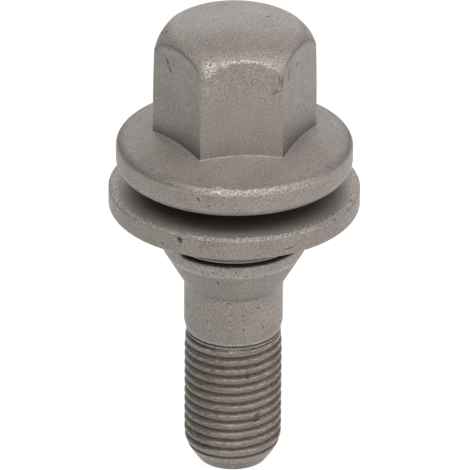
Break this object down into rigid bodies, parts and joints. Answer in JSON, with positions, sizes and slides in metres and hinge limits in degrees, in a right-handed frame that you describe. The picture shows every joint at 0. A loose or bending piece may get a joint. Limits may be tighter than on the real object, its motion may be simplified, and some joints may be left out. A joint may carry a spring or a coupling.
{
  "type": "wheel bolt",
  "caption": "Wheel bolt with a domed hexagon head, round flange, loose captive washer, conical seat, plain shank and tapered thread end; clamps a car wheel to its hub.",
  "frame": {"origin": "centre of the flat thread end, on which the bolt stands", "axes": "+Z along the bolt's axis towards the head; one pair of flats of the hexagon faces +Y and -Y"},
  "size_m": [0.0303, 0.0302, 0.059],
  "materials": {
    "coated_bolt_steel": "matte grey flake coat with fine grain, edges rubbed bright",
    "coated_washer_steel": "matte grey flake coat with fine grain, rim edge rubbed bright"
  },
  "bodies": {
    "bolt": {"bolt": "coated_bolt_steel"},
    "washer": {"washer": "coated_washer_steel"}
  },
  "joints": [
    {"name": "washer_spin", "type": "hinge", "parent": "bolt", "child": "washer", "pos_m": [0, 0, 0.0357], "axis": [0, 0, 1], "continuous": true}
  ]
}
